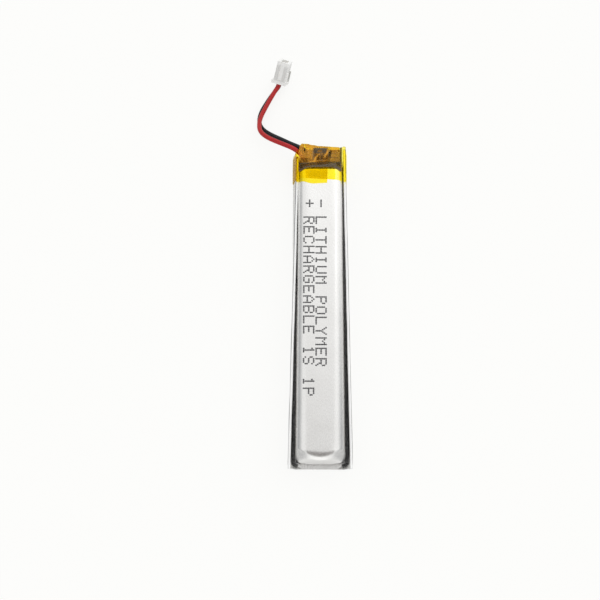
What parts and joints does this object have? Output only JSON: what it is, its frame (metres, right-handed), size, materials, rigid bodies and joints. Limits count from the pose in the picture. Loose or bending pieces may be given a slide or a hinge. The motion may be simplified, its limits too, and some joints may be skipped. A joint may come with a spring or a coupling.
{
  "type": "pouch battery cell",
  "caption": "Slim lithium pouch cell with folded side flaps, a taped protection board and a short twin lead that ends in a small white plug.",
  "frame": {"origin": "middle of the flat back of the cell, measured without its lead", "axes": "+Y along the cell towards the end with the board and lead, +X across it, +Z out of the face"},
  "size_m": [0.0209, 0.0919, 0.0071],
  "materials": {
    "pouch_film": "satin laminate",
    "polyimide_tape": "glossy translucent amber",
    "cathode_coating": "matt coated foil",
    "anode_coating": "matt coated foil",
    "separator_film": "matt porous film",
    "roll_tape": "glossy",
    "aluminium_strip": "satin",
    "nickel_strip": "satin",
    "seal_resin": "translucent resin",
    "foam": "matt foam",
    "insulating_paper": "matt",
    "board_laminate": "solder mask",
    "chip_moulding": "matt moulded",
    "ceramic_chip": "matt fired",
    "solder": "bright",
    "red_insulation": "satin",
    "black_insulation": "satin",
    "tinned_copper": "tinned strands",
    "plug_nylon": "natural white",
    "contact_metal": "plated"
  },
  "bodies": {
    "root": {"pouch_back_sheet": "pouch_film", "pouch_tub": "pouch_film", "cathode_sheet": "cathode_coating", "anode_sheet": "anode_coating", "separator_inner": "separator_film", "separator_outer": "separator_film", "roll_end_tape": "roll_tape", "positive_tab": "aluminium_strip", "negative_tab": "nickel_strip", "tab_seal_positive": "seal_resin", "tab_seal_negative": "seal_resin", "spacer_pad": "foam", "board_insulator": "insulating_paper", "circuit_board": "board_laminate", "protection_ic": "chip_moulding", "switch_mosfet": "chip_moulding", "sense_resistors": "ceramic_chip", "filter_capacitor": "ceramic_chip", "solder_joints": "solder", "tape_wrap": "polyimide_tape", "tape_end_strip": "polyimide_tape", "red_wire": "red_insulation", "black_wire": "black_insulation", "red_wire_core": "tinned_copper", "black_wire_core": "tinned_copper", "connector_housing": "plug_nylon", "contact_positive": "contact_metal", "contact_negative": "contact_metal"}
  },
  "joints": []
}
